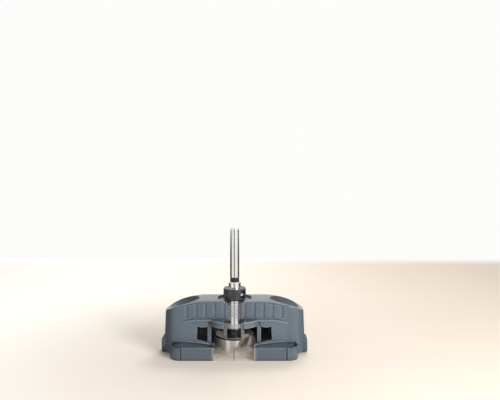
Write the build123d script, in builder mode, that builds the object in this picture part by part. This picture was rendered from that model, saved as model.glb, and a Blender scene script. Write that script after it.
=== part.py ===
from build123d import *
from math import cos, radians, sin, sqrt, tan
import os

# Portable drill guide: a moulded housing on a low base frame guides a steel spindle, which drives
# a hinge boring bit. A collar on the spindle stops on the deck and so limits the depth.
# The origin is on the spindle's axis, in the plane of the underside. The front faces -Y.
# All sizes are in millimetres and degrees.

# Housing body
body_length = 124.6
body_depth = 29.8
body_draft = 2.1
deck_height = 47.3
deck_half_flat = 29.0
shoulder_fall = 11.4
shoulder_bulge = 2.2
deck_edge_radius = 0.9
deck_thickness = 2.6
foot_start = 53.5
foot_bottom = 2.2

# Turret round the bit, and the apron that carries the outer windows
turret_radius = 24.8
ridge_height = 31.8
turret_roof = 2.2
apron_proud = 1.0
apron_half_flat = 39.0
apron_fade = 9.0
apron_drop_start = 32.0
apron_drop = 4.2
brow_proud = 0.7
brow_height = 1.4

# Chip chamber
chamber_length = 65.0
chamber_depth = 22.8
chamber_radius = 22.0
chamber_corner = 2.5

# Windows and posts
sill_bottom = 9.6
sill_height = 1.6
lintel_height = 26.1
inner_post_start = 5.8
inner_post_width = 3.0
outer_post_start = 20.0
outer_post_width = 3.0
post_setback = 1.2
window_side_wall = 0.7
window_flare = 0.5
outer_lintel_height = 25.7
outer_lintel_sag = 0.9
outer_sill_start = 11.9
outer_sill_end = 14.0
window_edge = 0.3

# Parting line between housing and base frame
lip_height = 12.4
lip_rise_start = 16.5
lip_rise_end = 39.0
lip_proud = 0.4
lip_bead = 0.9

# Ribbed band
groove_first = 9.05
groove_pitch = 8.03
groove_count = 5
groove_width = 3.0
groove_depth = 0.8
groove_foot_gap = 1.2
groove_head_gap = 1.6
edge_line_gap = 1.2
edge_line_height = 0.8
edge_line_depth = 0.7
edge_line_half_length = 46.0

# Thumb pockets
pocket_centre = 44.0
pocket_half_length = 17.6
pocket_radius = 15.0
pocket_rise = 8.8
pocket_tilt = 16.7

# Deck recess and guide bush
recess_radius = 15.3
recess_depth = 1.6
boss_radius = 9.0
boss_bottom = 31.5
rib_thickness = 2.2
bush_wall = 0.74

# Base frame
base_length = 110.0
base_depth = 51.6
base_corner = 9.5
base_height = 10.9
base_wall = 1.2
base_floor = 2.4
base_edge_radius = 0.5
base_gap = 0.15
shadow_gap = 1.4
side_mark = 44.7
mark_width = 0.9
mark_depth = 0.7
centre_mark_width = 0.5
centre_mark_depth = 0.4

# Clear sight window
sight_half_width = 16.9
tongue_half_width = 6.2
tongue_back = 2.0
sight_gap = 0.1

# End bumpers
bumper_proud = 1.5
bumper_overlap = 5.6
bumper_width = 15.6
bumper_bottom = 0.8
bumper_top = 13.6
bumper_corner = 3.0
bumper_edge = 1.2
bumper_gap = 0.3

# Spindle
barrel_radius = 5.5
barrel_bottom = 20.3
barrel_top = 61.6
neck_length = 3.7
neck_radius = 3.2
shank_radius = 4.25
shank_top = 109.0
shank_chamfer = 0.8
barrel_chamfer = 0.6
running_gap = 0.05
seat_gap = 0.02
neck_ring_wall = 0.8
neck_ring_end_gap = 0.15

# Depth stop collar and washer
collar_radius = 10.0
collar_height = 9.5
collar_bottom_round = 0.8
collar_top_chamfer = 0.5
washer_radius = 7.2
washer_thickness = 1.0
collar_screw_angle = 48.0
collar_screw_radius = 2.9
collar_screw_length = 3.0
screw_tip_gap = 0.2
screw_socket_share = 0.55
screw_socket_depth_share = 0.45

# Forstner bit
bit_radius = 17.5
bit_point = 0.3
bit_rim_bottom = 3.7
bit_top = 16.0
bit_rim_wall = 1.7
bit_web_bottom = 4.4
bit_spur_radius = 1.8
bit_hub_radius = 5.4
bit_shoulder_radius = 7.2
bit_shank_radius = 3.25
bit_shank_length = 19.5
bit_edge = 0.8
gullet_low = ((-2.6, -22.0), (0.0, -3.6), (1.4, -3.0), (2.8, -3.2), (14.2, -18.2))
gullet_high = ((6.5, -22.0), (6.5, -9.4), (10.9, -4.9), (15.4, -9.3), (15.4, -22.0))
gullet_run_out = 1.4
notch_angle = -34.0
notch_width = 2.9
notch_height = 3.4
bit_screw_height = 25.5
bit_screw_angle = 150.0
bit_screw_radius = 2.0

# Base screws and sole pads
screw_x = 41.0
screw_y = 7.0
base_screw_radius = 1.5
base_screw_head_radius = 3.0
base_screw_length = 22.0
base_screw_sink = 0.4
base_screw_cone = 1.7
pilot_run_out = 1.0
pad_length = 18.0
pad_width = 6.0
pad_thickness = 0.8
pad_centre_x = 33.0

# Heights and radii worked out from the sizes above
window_bottom = sill_bottom + sill_height
recess_floor = deck_height - recess_depth
deck_underside = deck_height - recess_depth - deck_thickness
turret_ceiling = ridge_height - turret_roof
face_half_depth = body_depth / 2 - ridge_height * tan(radians(body_draft))
deck_half_depth = body_depth / 2 - deck_height * tan(radians(body_draft))
chamber_half_depth = chamber_depth / 2
window_end = chamber_length / 2 - window_side_wall
bumper_reach = body_length / 2 + bumper_proud
bumper_root = body_length / 2 - bumper_overlap
shoulder_run = body_length / 2 + apron_proud - deck_half_flat
groove_round = (groove_width**2 / 4 + groove_depth**2) / (2 * groove_depth)
bush_bore_radius = barrel_radius + running_gap
bush_radius = bush_bore_radius + bush_wall
collar_bottom = recess_floor + washer_thickness
collar_middle = collar_bottom + collar_height / 2
shank_bottom = barrel_top + neck_length
bit_shank_top = barrel_bottom + bit_shank_length
sight_post_end = inner_post_start + inner_post_width
outer_post_end = outer_post_start + outer_post_width
far = body_length


def shoulder_drop(x):
    """How far the deck's outline has fallen at x, with its arc taken as a parabola."""
    along = max(x - deck_half_flat, 0) / shoulder_run
    return shoulder_fall * along - 4 * shoulder_bulge * along * (1 - along)


def deck_line(drop):
    """Face below the deck's outline as seen from the front, lowered by drop."""
    shoulder_end = deck_half_flat + shoulder_run
    level = deck_height - drop
    flat_end = (deck_half_flat, level)
    fall_end = (shoulder_end, level - shoulder_fall)
    with BuildSketch() as outline:
        with BuildLine():
            Line((0, level), flat_end)
            SagittaArc(flat_end, fall_end, shoulder_bulge)
            Polyline(fall_end, (shoulder_end, -drop), (0, -drop), (0, level))
        make_face()
        mirror(about=Plane.YZ)
    return outline.sketch


def below_parting(rise):
    """Face seen from the front, below the housing's lower edge or a line above it by rise."""
    with BuildSketch() as outline:
        with BuildLine():
            Polyline(
                (0, -1),
                (0, sill_bottom + rise),
                (lip_rise_start, sill_bottom + rise),
                (lip_rise_end, lip_height + rise),
                (foot_start, lip_height + rise),
                (foot_start, foot_bottom),
                (far, foot_bottom),
                (far, -1),
                close=True,
            )
        make_face()
        mirror(about=Plane.YZ)
    return outline.sketch


def ridge_line(drop):
    """Face below the ridge, which runs level over the turret and falls away at its ends."""
    level = ridge_height - drop
    end = apron_half_flat + apron_fade
    with BuildSketch() as outline:
        with BuildLine():
            Line((0, level), (apron_drop_start, level))
            TangentArc((apron_drop_start, level), (end, level - apron_drop), tangent=(1, 0))
            Polyline((end, level - apron_drop), (end, 0), (0, 0), (0, level))
        make_face()
        mirror(about=Plane.YZ)
    return outline.sketch


def apron_plan(proud):
    """Plan of the apron on both faces, which fades into the body at its ends."""
    half = face_half_depth + proud
    end = apron_half_flat + apron_fade
    with BuildSketch() as outline:
        with BuildLine():
            Polyline(
                (0, half),
                (apron_half_flat, half),
                (end, face_half_depth),
                (end, -face_half_depth),
                (apron_half_flat, -half),
                (0, -half),
                close=True,
            )
        make_face()
        mirror(about=Plane.YZ)
    return outline.sketch


def make_apron(proud, top_drop):
    """The raised apron on both faces, up to the ridge line less top_drop."""
    with BuildPart() as apron:
        with BuildSketch(Plane.XY.offset(sill_bottom)):
            add(apron_plan(proud))
        extrude(amount=ridge_height - sill_bottom)
        with BuildSketch(Plane.XZ):
            add(ridge_line(top_drop))
        extrude(amount=far, both=True, mode=Mode.INTERSECT)
    return apron.part


def make_brow():
    """The thin lip along the ridge, a little prouder than apron and turret."""
    with BuildPart() as brow:
        with BuildSketch(Plane.XY.offset(sill_bottom)):
            add(apron_plan(apron_proud + brow_proud))
            Circle(turret_radius + brow_proud)
        extrude(amount=ridge_height - sill_bottom)
        with BuildSketch(Plane.XZ):
            add(ridge_line(0))
        extrude(amount=far, both=True, mode=Mode.INTERSECT)
        with BuildSketch(Plane.XZ):
            add(ridge_line(brow_height))
        extrude(amount=far, both=True, mode=Mode.SUBTRACT)
    return brow.part


def make_lip():
    """The slightly prouder bead along the housing's lower edge, not yet cut to that edge."""
    with BuildPart() as lip:
        with BuildSketch(Plane.XY):
            add(apron_plan(apron_proud + lip_proud))
            Circle(turret_radius + lip_proud)
        extrude(amount=ridge_height)
        with BuildSketch(Plane.XZ):
            add(below_parting(lip_bead))
        extrude(amount=far, both=True, mode=Mode.INTERSECT)
    return lip.part


def deck_rim(edge):
    """True for the edges along the rim of the deck and its shoulders."""
    middle = edge.center()
    on_end = abs(middle.X) > body_length / 2 - body_depth / 2
    on_face = abs(middle.Y) > body_depth / 4
    return middle.Z > deck_height - shoulder_fall - 2 and (on_end or on_face)


def make_shell():
    """Housing with its chamber, before windows, ribs and pockets."""
    apron = make_apron(apron_proud, 0)
    brow = make_brow()
    lip = make_lip()
    with BuildPart() as shell:
        with BuildSketch(Plane.XY):
            SlotOverall(body_length, body_depth)
        extrude(amount=deck_height + deck_thickness, taper=body_draft)
        with BuildSketch(Plane.XZ):
            add(deck_line(0))
        extrude(amount=far, both=True, mode=Mode.INTERSECT)
        fillet(shell.edges().filter_by(deck_rim), radius=deck_edge_radius)
        with BuildSketch(Plane.XY.offset(sill_bottom)):
            Circle(turret_radius)
        extrude(amount=ridge_height - sill_bottom)
        add(apron)
        add(brow)
        add(lip)
        with BuildSketch(Plane.XZ):
            add(below_parting(0))
        extrude(amount=far, both=True, mode=Mode.SUBTRACT)
        with BuildSketch(Plane.XY):
            chamber = Rectangle(chamber_length, chamber_depth)
            fillet(chamber.vertices(), radius=chamber_corner)
        extrude(amount=deck_underside, mode=Mode.SUBTRACT)
        with BuildSketch(Plane.XY):
            Circle(chamber_radius)
        extrude(amount=turret_ceiling, mode=Mode.SUBTRACT)
        with BuildSketch(Plane.XY.offset(recess_floor)):
            Circle(recess_radius)
        extrude(amount=deck_height, mode=Mode.SUBTRACT)
    return shell.part


def outer_window():
    """Outer window: its sill rises outward and its lintel sags in the middle."""
    middle = (outer_post_end + window_end) / 2
    head_in = (outer_post_end, outer_lintel_height)
    head_out = (window_end, outer_lintel_height)
    with BuildSketch() as outline:
        with BuildLine():
            Polyline(
                head_in,
                (outer_post_end, outer_sill_start),
                (window_end + window_flare, outer_sill_end),
                head_out,
            )
            ThreePointArc(head_out, (middle, outer_lintel_height - outer_lintel_sag), head_in)
        make_face()
        mirror(about=Plane.YZ)
    return outline.sketch


def outer_window_edge(edge):
    """True for the edges of the outer windows in the apron's front face."""
    middle = edge.center()
    in_face = abs(middle.Y + face_half_depth + apron_proud) < 0.01
    beside = outer_post_end - 0.01 < abs(middle.X) < window_end + window_flare
    level = outer_sill_start < middle.Z < outer_lintel_height
    return in_face and beside and level and edge.length <= outer_lintel_height - outer_sill_start


def inner_window():
    """Pair of windows between the inner and the outer posts."""
    width = outer_post_start - sight_post_end
    middle = sight_post_end + width / 2
    with BuildSketch() as outline:
        with Locations((middle, (window_bottom + lintel_height) / 2)):
            Rectangle(width, lintel_height - window_bottom)
        mirror(about=Plane.YZ)
    return outline.sketch


def make_edge_line():
    """Thin bar along the deck's edge that reaches a little way into both faces."""
    with BuildPart() as line:
        with BuildSketch(Plane.XZ):
            add(deck_line(edge_line_gap))
            add(deck_line(edge_line_gap + edge_line_height), mode=Mode.SUBTRACT)
            Rectangle(2 * edge_line_half_length, far, mode=Mode.INTERSECT)
        extrude(amount=far, both=True)
        Box(far, 2 * (deck_half_depth - edge_line_depth), far, mode=Mode.SUBTRACT)
    return line.part


def make_base_shell():
    """Base frame before its marks, holes and the opening for the clear window."""
    with BuildPart() as plinth:
        with BuildSketch(Plane.XY):
            SlotOverall(body_length - 2 * shadow_gap, body_depth - 2 * shadow_gap)
            Circle(turret_radius - shadow_gap)
        extrude(amount=lip_height)
        with BuildSketch(Plane.XZ):
            add(below_parting(0))
        extrude(amount=far, both=True, mode=Mode.INTERSECT)
    with BuildPart() as base:
        with BuildSketch(Plane.XY):
            RectangleRounded(base_length, base_depth, base_corner)
        extrude(amount=base_height)
        rim = base.faces().sort_by(Axis.Z)[-1]
        fillet(rim.edges(), radius=base_edge_radius)
        with BuildSketch(Plane.XY.offset(base_floor)):
            inner_corner = base_corner - base_wall
            RectangleRounded(base_length - 2 * base_wall, base_depth - 2 * base_wall, inner_corner)
        extrude(amount=base_height, mode=Mode.SUBTRACT)
        add(plinth.part)
        with BuildSketch(Plane.XY):
            SlotOverall(body_length + 2 * base_gap, body_depth + 2 * base_gap)
            Rectangle(2 * foot_start, base_depth, mode=Mode.SUBTRACT)
        extrude(amount=lip_height, mode=Mode.SUBTRACT)
        with BuildSketch(Plane.XY):
            Rectangle(chamber_length, chamber_depth)
            Circle(chamber_radius)
        extrude(amount=lip_height, mode=Mode.SUBTRACT)
    return base.part


def box_between(low, high):
    """Plain block from its lowest to its highest corner."""
    size = [high[i] - low[i] for i in range(3)]
    middle = [(high[i] + low[i]) / 2 for i in range(3)]
    return Pos(*middle) * Box(*size)


inner_post_x = inner_post_start + inner_post_width / 2
inner_post_face = sqrt(turret_radius**2 - inner_post_x**2) - post_setback
outer_post_face = face_half_depth + apron_proud - post_setback
post_top = ridge_height - brow_height

# The clear window stands in four openings: low down in the base frame, in the turret's sill,
# in the turret between the inner windows, and as a narrow tongue in the ribbed band.
low_opening = box_between(
    (-sight_half_width, -far, -base_gap),
    (sight_half_width, -chamber_half_depth, base_height + base_gap),
)
sill_opening = box_between(
    (-sight_half_width, -far, sill_bottom - base_gap),
    (sight_half_width, -chamber_half_depth, window_bottom),
)
turret_opening = box_between(
    (-sight_post_end - sight_gap, -far, sill_bottom - base_gap),
    (sight_post_end + sight_gap, -face_half_depth, ridge_height + base_gap),
)
tongue_opening = box_between(
    (-tongue_half_width - sight_gap, -far, turret_ceiling),
    (tongue_half_width + sight_gap, -tongue_back, deck_height),
)

shell = make_shell()
base_shell = make_base_shell()

# Housing: the shell with boss and ribs inside, windows, ribbed band, pockets and pilot holes
with BuildPart() as housing:
    add(shell)
    with BuildSketch(Plane.XY.offset(boss_bottom)):
        Circle(boss_radius)
        Rectangle(chamber_length, rib_thickness)
        with Locations((0, chamber_half_depth / 2)):
            Rectangle(rib_thickness, chamber_half_depth)
    extrude(amount=deck_underside - boss_bottom)
    with BuildSketch(Plane.XY.offset(boss_bottom)):
        Circle(bush_radius + seat_gap)
    extrude(amount=deck_height, mode=Mode.SUBTRACT)

    # Windows, open to the front only, the outer ones with a small chamfer
    with BuildSketch(Plane.XZ):
        add(outer_window())
        add(inner_window())
    extrude(amount=far, mode=Mode.SUBTRACT)
    chamfer(housing.edges().filter_by(outer_window_edge), length=window_edge)

    # The outer posts stand back from the apron, up to the underside of the brow
    post_x = outer_post_start + outer_post_width / 2
    post_y = -(outer_post_face + far / 2)
    post_z = (window_bottom + post_top) / 2
    with Locations((post_x, post_y, post_z), (-post_x, post_y, post_z)):
        Box(outer_post_width, far, post_top - window_bottom, mode=Mode.SUBTRACT)

    # Round grooves of the ribbed band, along both faces, each ending under the deck's edge
    foot = ridge_height + groove_foot_gap
    for n in range(groove_count):
        groove_x = groove_first + n * groove_pitch
        head = deck_height - groove_head_gap - shoulder_drop(groove_x)
        middle_z = (head + foot) / 2
        face_y = body_depth / 2 - middle_z * tan(radians(body_draft))
        middle_y = face_y - groove_depth + groove_round
        for side in (-1, 1):
            with Locations((groove_x, side * middle_y, middle_z), (-groove_x, side * middle_y, middle_z)):
                Cylinder(
                    groove_round,
                    head - foot,
                    rotation=(side * body_draft, 0, 0),
                    mode=Mode.SUBTRACT,
                )

    # Thin line under the deck's edge, on both faces
    add(make_edge_line(), mode=Mode.SUBTRACT)

    # Thumb pockets: dished ellipsoids let into both shoulders
    shoulder_z = deck_height - shoulder_drop(pocket_centre)
    tilt = radians(pocket_tilt)
    for side in (-1, 1):
        centre_x = side * (pocket_centre + pocket_rise * sin(tilt))
        centre = (centre_x, 0, shoulder_z + pocket_rise * cos(tilt))
        along = (cos(tilt), 0, -side * sin(tilt))
        with BuildSketch(Plane(origin=centre, x_dir=along, z_dir=(0, 1, 0))):
            Ellipse(pocket_half_length, pocket_radius)
            with Locations((0, pocket_radius)):
                Rectangle(2 * pocket_half_length, 2 * pocket_radius, mode=Mode.SUBTRACT)
        revolve(axis=Axis(centre, along), mode=Mode.SUBTRACT)

    # Pilot holes for the base screws
    with BuildSketch(Plane.XY):
        with GridLocations(2 * screw_x, 2 * screw_y, 2, 2):
            Circle(base_screw_radius + seat_gap)
    extrude(amount=base_screw_sink + base_screw_length + pilot_run_out, mode=Mode.SUBTRACT)

    add(sill_opening, mode=Mode.SUBTRACT)
    add(turret_opening, mode=Mode.SUBTRACT)
    add(tongue_opening, mode=Mode.SUBTRACT)

# Base frame: rim, floor and plinth in one, with side marks, countersunk holes and pad recesses
with BuildPart() as base_frame:
    add(base_shell)
    with BuildSketch(Plane.XY.offset(sill_bottom)):
        Circle(turret_radius + lip_proud + base_gap)
        Rectangle(2 * foot_start, 2 * face_half_depth, mode=Mode.SUBTRACT)
    extrude(amount=lip_height, mode=Mode.SUBTRACT)
    mark_y = -base_depth / 2 + mark_depth / 2
    with Locations((side_mark, mark_y, base_height / 2), (-side_mark, mark_y, base_height / 2)):
        Box(mark_width, mark_depth, base_height, mode=Mode.SUBTRACT)
    with Locations(Plane(origin=(0, 0, 0), z_dir=(0, 0, -1))):
        with GridLocations(2 * screw_x, 2 * screw_y, 2, 2):
            CounterSinkHole(base_screw_radius + seat_gap, base_screw_head_radius + base_screw_sink)
    pad_y = base_depth / 2 - base_wall - pad_width / 2 - base_edge_radius
    with GridLocations(2 * pad_centre_x, 2 * pad_y, 2, 2):
        Box(pad_length, pad_width, 2 * pad_thickness, mode=Mode.SUBTRACT)
    add(low_opening, mode=Mode.SUBTRACT)

# Sight window: one clear moulding with the centre mark, two slim posts and the tongue.
# Its stretches continue the shapes of base frame and housing.
low_piece = base_shell & box_between(
    (-sight_half_width + sight_gap, -far, 0),
    (sight_half_width - sight_gap, -chamber_half_depth, base_height),
)
sill_piece = shell & box_between(
    (-sight_half_width + sight_gap, -far, sill_bottom),
    (sight_half_width - sight_gap, -chamber_half_depth, window_bottom),
)
turret_piece = shell & box_between(
    (-sight_post_end, -far, sill_bottom),
    (sight_post_end, -face_half_depth, ridge_height),
)
tongue_piece = shell & box_between(
    (-tongue_half_width, -far, turret_ceiling),
    (tongue_half_width, -tongue_back - sight_gap, deck_height),
)
with BuildPart() as sight_window:
    add(low_piece)
    add(sill_piece)
    add(turret_piece)
    add(tongue_piece)
    with BuildSketch(Plane.XY.offset(turret_ceiling)):
        Circle(bush_radius + seat_gap)
    extrude(amount=deck_height, mode=Mode.SUBTRACT)
    with BuildSketch(Plane.XZ):
        with Locations((0, (window_bottom + lintel_height) / 2)):
            Rectangle(2 * inner_post_start, lintel_height - window_bottom)
    extrude(amount=far, mode=Mode.SUBTRACT)
    post_y = -(inner_post_face + far / 2)
    with Locations((inner_post_x, post_y, post_z), (-inner_post_x, post_y, post_z)):
        Box(inner_post_width, far, post_top - window_bottom, mode=Mode.SUBTRACT)
    with Locations((0, -base_depth / 2 + centre_mark_depth / 2, base_height / 2)):
        Box(centre_mark_width, centre_mark_depth, base_height, mode=Mode.SUBTRACT)

# End bumpers: rounded pads that fit the housing's tapered round ends and reach under them,
# clear of the base frame
with BuildPart() as bumper_seat:
    with BuildSketch(Plane.XY):
        SlotOverall(body_length + 2 * seat_gap, body_depth + 2 * seat_gap)
    extrude(amount=deck_height, taper=body_draft)
    with BuildSketch(Plane.XY):
        Rectangle(2 * far, 2 * far)
    extrude(amount=foot_bottom - seat_gap, mode=Mode.SUBTRACT)
    with BuildSketch(Plane.XY):
        Rectangle(base_length + 2 * bumper_gap, base_depth)
    extrude(amount=deck_height)

with BuildPart() as end_bumper_right:
    with BuildSketch(Plane.YZ.offset(bumper_root)):
        with Locations((0, (bumper_bottom + bumper_top) / 2)):
            RectangleRounded(bumper_width, bumper_top - bumper_bottom, bumper_corner)
    extrude(amount=bumper_reach - bumper_root)
    outer_face = end_bumper_right.faces().sort_by(Axis.X)[-1]
    fillet(outer_face.edges(), radius=bumper_edge)
    add(bumper_seat.part, mode=Mode.SUBTRACT)

with BuildPart() as end_bumper_left:
    mirror(end_bumper_right.part, about=Plane.YZ)

# Guide bush: the clear sleeve in the boss
with BuildPart() as guide_bush:
    with BuildSketch(Plane.XY.offset(boss_bottom)):
        Circle(bush_radius)
        Circle(bush_bore_radius, mode=Mode.SUBTRACT)
    extrude(amount=recess_floor - boss_bottom)

# Thrust washer between deck and collar
with BuildPart() as thrust_washer:
    with BuildSketch(Plane.XY.offset(recess_floor)):
        Circle(washer_radius)
        Circle(bush_bore_radius, mode=Mode.SUBTRACT)
    extrude(amount=washer_thickness)

# Depth stop collar with a tapped cross hole
collar_screw_axis = Plane(
    origin=(0, 0, collar_middle),
    z_dir=(sin(radians(collar_screw_angle)), -cos(radians(collar_screw_angle)), 0),
)
with BuildPart() as depth_stop_collar:
    with BuildSketch(Plane.XY.offset(collar_bottom)):
        Circle(collar_radius)
    extrude(amount=collar_height)
    fillet(depth_stop_collar.edges().sort_by(Axis.Z)[0], radius=collar_bottom_round)
    chamfer(depth_stop_collar.edges().sort_by(Axis.Z)[-1], length=collar_top_chamfer)
    with BuildSketch(Plane.XY.offset(collar_bottom)):
        Circle(bush_bore_radius)
    extrude(amount=collar_height, mode=Mode.SUBTRACT)
    with BuildSketch(collar_screw_axis):
        Circle(collar_screw_radius)
    extrude(amount=far, mode=Mode.SUBTRACT)


def grub_screw(axis, tip, radius, length):
    """Socket set screw on an axis that leaves the spindle, its tip at a distance from it."""
    with BuildPart() as screw:
        with BuildSketch(axis.offset(tip)):
            Circle(radius - running_gap)
        extrude(amount=length)
        with BuildSketch(axis.offset(tip + length * (1 - screw_socket_depth_share))):
            RegularPolygon(radius * screw_socket_share, 6)
        extrude(amount=length, mode=Mode.SUBTRACT)
    return screw.part


with BuildPart() as collar_grub_screw:
    add(
        grub_screw(
            collar_screw_axis,
            barrel_radius + screw_tip_gap,
            collar_screw_radius,
            collar_screw_length,
        )
    )

# Spindle: barrel with the bit's socket, neck and drive shank, turned in one piece
bit_screw_axis = Plane(
    origin=(0, 0, bit_screw_height),
    z_dir=(sin(radians(bit_screw_angle)), -cos(radians(bit_screw_angle)), 0),
)
with BuildPart() as spindle:
    with BuildSketch(Plane.XZ):
        with BuildLine():
            Polyline(
                (0, barrel_bottom),
                (barrel_radius - barrel_chamfer, barrel_bottom),
                (barrel_radius, barrel_bottom + barrel_chamfer),
                (barrel_radius, barrel_top - barrel_chamfer),
                (barrel_radius - barrel_chamfer, barrel_top),
                (neck_radius, barrel_top),
                (neck_radius, shank_bottom),
                (shank_radius - shank_chamfer / 2, shank_bottom),
                (shank_radius, shank_bottom + shank_chamfer / 2),
                (shank_radius, shank_top - shank_chamfer),
                (shank_radius - shank_chamfer, shank_top),
                (0, shank_top),
                close=True,
            )
        make_face()
    revolve(axis=Axis.Z)
    with BuildSketch(Plane.XY.offset(barrel_bottom)):
        Circle(bit_shank_radius + seat_gap)
    extrude(amount=bit_shank_length + seat_gap, mode=Mode.SUBTRACT)
    with BuildSketch(bit_screw_axis):
        Circle(bit_screw_radius)
    extrude(amount=far, mode=Mode.SUBTRACT)

bit_screw_tip = bit_shank_radius + screw_tip_gap
bit_screw_head = sqrt((barrel_radius - screw_tip_gap) ** 2 - bit_screw_radius**2)
with BuildPart() as bit_grub_screw:
    bit_screw_length = bit_screw_head - bit_screw_tip
    add(grub_screw(bit_screw_axis, bit_screw_tip, bit_screw_radius, bit_screw_length))

# Neck ring between barrel and shank
with BuildPart() as neck_ring:
    with BuildSketch(Plane.XY.offset(barrel_top + neck_ring_end_gap)):
        Circle(neck_radius + neck_ring_wall)
        Circle(neck_radius + seat_gap, mode=Mode.SUBTRACT)
    extrude(amount=neck_length - 2 * neck_ring_end_gap)


def gullet_section(points, height):
    """Plan of a gullet at one height, open to the rim and round at its root."""
    with BuildSketch(Plane.XY.offset(height)) as section:
        with BuildLine():
            Line(points[0], points[1])
            ThreePointArc(points[1], points[2], points[3])
            Polyline(points[3], points[4], points[0])
        make_face()
    return section.sketch


def make_gullet(turn):
    """Slanting chip gullet, deep at the cutting edge and shallow at the top of the head."""
    with BuildPart() as gullet:
        add(gullet_section(gullet_low, bit_rim_bottom - gullet_run_out))
        add(gullet_section(gullet_high, bit_top + gullet_run_out))
        loft(ruled=True)
    return gullet.part.rotate(Axis.Z, turn)


# Forstner bit: head with spur, web and rim cutters, hub and shank, with two chip gullets and
# a notch beside each rim cutter
with BuildPart() as forstner_bit:
    with BuildSketch(Plane.XZ):
        with BuildLine():
            Polyline(
                (0, bit_point),
                (bit_spur_radius, bit_web_bottom),
                (bit_radius - bit_rim_wall, bit_web_bottom),
                (bit_radius - bit_edge / 2, bit_rim_bottom),
                (bit_radius, bit_rim_bottom),
                (bit_radius, bit_top - bit_edge),
                (bit_radius - bit_edge, bit_top),
                (bit_shoulder_radius, bit_top),
                (bit_hub_radius, bit_top + bit_shoulder_radius - bit_hub_radius),
                (bit_hub_radius, barrel_bottom),
                (bit_shank_radius, barrel_bottom),
                (bit_shank_radius, bit_shank_top),
                (0, bit_shank_top),
                close=True,
            )
        make_face()
    revolve(axis=Axis.Z)
    add(make_gullet(0), mode=Mode.SUBTRACT)
    add(make_gullet(180), mode=Mode.SUBTRACT)
    for turn in (0, 180):
        with Locations(Rotation(0, 0, notch_angle + turn)):
            with Locations((0, -bit_radius, bit_rim_bottom)):
                Box(notch_width, 2 * bit_rim_wall, 2 * notch_height, mode=Mode.SUBTRACT)

# Base screws: four countersunk screws from below, in one node
with BuildPart() as base_screws:
    with BuildSketch(Plane.XZ):
        with BuildLine():
            Polyline(
                (0, base_screw_sink),
                (base_screw_head_radius, base_screw_sink),
                (base_screw_radius, base_screw_sink + base_screw_cone),
                (base_screw_radius, base_screw_sink + base_screw_length),
                (0, base_screw_sink + base_screw_length),
                close=True,
            )
        make_face()
    screw = revolve(axis=Axis.Z, mode=Mode.PRIVATE)
    with GridLocations(2 * screw_x, 2 * screw_y, 2, 2):
        add(screw)


def make_pad(side_x, side_y):
    """One thin pad in its recess in the underside."""
    with BuildPart() as pad:
        with Locations((side_x * pad_centre_x, side_y * pad_y, pad_thickness / 2)):
            Box(pad_length, pad_width, pad_thickness)
    return pad.part


finished = {
    "housing": housing.part,
    "base_frame": base_frame.part,
    "sight_window": sight_window.part,
    "end_bumper_left": end_bumper_left.part,
    "end_bumper_right": end_bumper_right.part,
    "guide_bush": guide_bush.part,
    "thrust_washer": thrust_washer.part,
    "depth_stop_collar": depth_stop_collar.part,
    "collar_grub_screw": collar_grub_screw.part,
    "spindle": spindle.part,
    "neck_ring": neck_ring.part,
    "bit_grub_screw": bit_grub_screw.part,
    "forstner_bit": forstner_bit.part,
    "base_screws": base_screws.part,
    "sole_pad_front_left": make_pad(-1, -1),
    "sole_pad_front_right": make_pad(1, -1),
    "sole_pad_back_left": make_pad(-1, 1),
    "sole_pad_back_right": make_pad(1, 1),
}
os.makedirs("parts", exist_ok=True)
for name, piece in finished.items():
    piece.label = name
    export_step(piece, f"parts/{name}.step")
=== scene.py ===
import math

import bpy
import numpy as np
from bpy.props import FloatProperty, FloatVectorProperty, PointerProperty
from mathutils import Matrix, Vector

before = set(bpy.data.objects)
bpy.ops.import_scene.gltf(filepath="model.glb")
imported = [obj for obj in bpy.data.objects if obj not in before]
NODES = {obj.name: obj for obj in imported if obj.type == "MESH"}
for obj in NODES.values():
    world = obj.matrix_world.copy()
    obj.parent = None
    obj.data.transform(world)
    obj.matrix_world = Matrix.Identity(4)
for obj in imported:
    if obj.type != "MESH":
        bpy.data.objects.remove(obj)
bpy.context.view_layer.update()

bl_info = {
    "name": "Portable drill guide",
    "version": (1, 0, 0),
    "blender": (4, 5, 0),
    "location": "View3D > Sidebar > Drill guide",
    "description": "Finishes and stage of a portable drill guide with a hinge boring bit",
    "category": "Object",
}

MM = 0.001
WHITE = (1.0, 1.0, 1.0)

# Smooth shading of the CAD nodes
SEAM_ANGLE = math.radians(32)
WELD_DISTANCE = 2e-6

# Octaves of a noise pattern, and the part of its range in which a tone changes
FEW, SOME, MANY = 2.0, 3.0, 4.0
CLOUDS = (0.3, 0.7)

# Openness at which painted corner shade, edge highlight or hollow shade starts and is complete
CORNER_SHADE_RANGE = (0.9, 0.5)
EDGE_HIGHLIGHT_RANGE = (0.95, 0.6)
HOLLOW_SHADE_RANGE = (0.95, 0.5)
OPENNESS_SAMPLES = 6

# Cosine between the rounded and the true normal at which an edge starts and is complete
EDGE_TURN = (0.999, 0.8)
EDGE_SAMPLES = 8

# Chip chamber, painted near black as shade: a box joined with an upright cylinder,
# both a little wider than in the solids
CHAMBER_HALF_LENGTH = 32.6 * MM
CHAMBER_HALF_DEPTH = 11.45 * MM
CHAMBER_TOP = 43.3 * MM
ROUND_RADIUS = 22.1 * MM
ROUND_TOP = 29.7 * MM

# Front walls beside the tongue that reflected rays pass
PASSED_HALF_WIDTH = 20.0 * MM
PASSED_FRONT = -5.0 * MM
PASSED_BOTTOM = 20.0 * MM
PASSED_TOP = 45.0 * MM

# Base frame: its front plate and its side marks lie before these
PLATE_FRONT = -23.0 * MM
MARK_FRONT = -24.9 * MM
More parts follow.
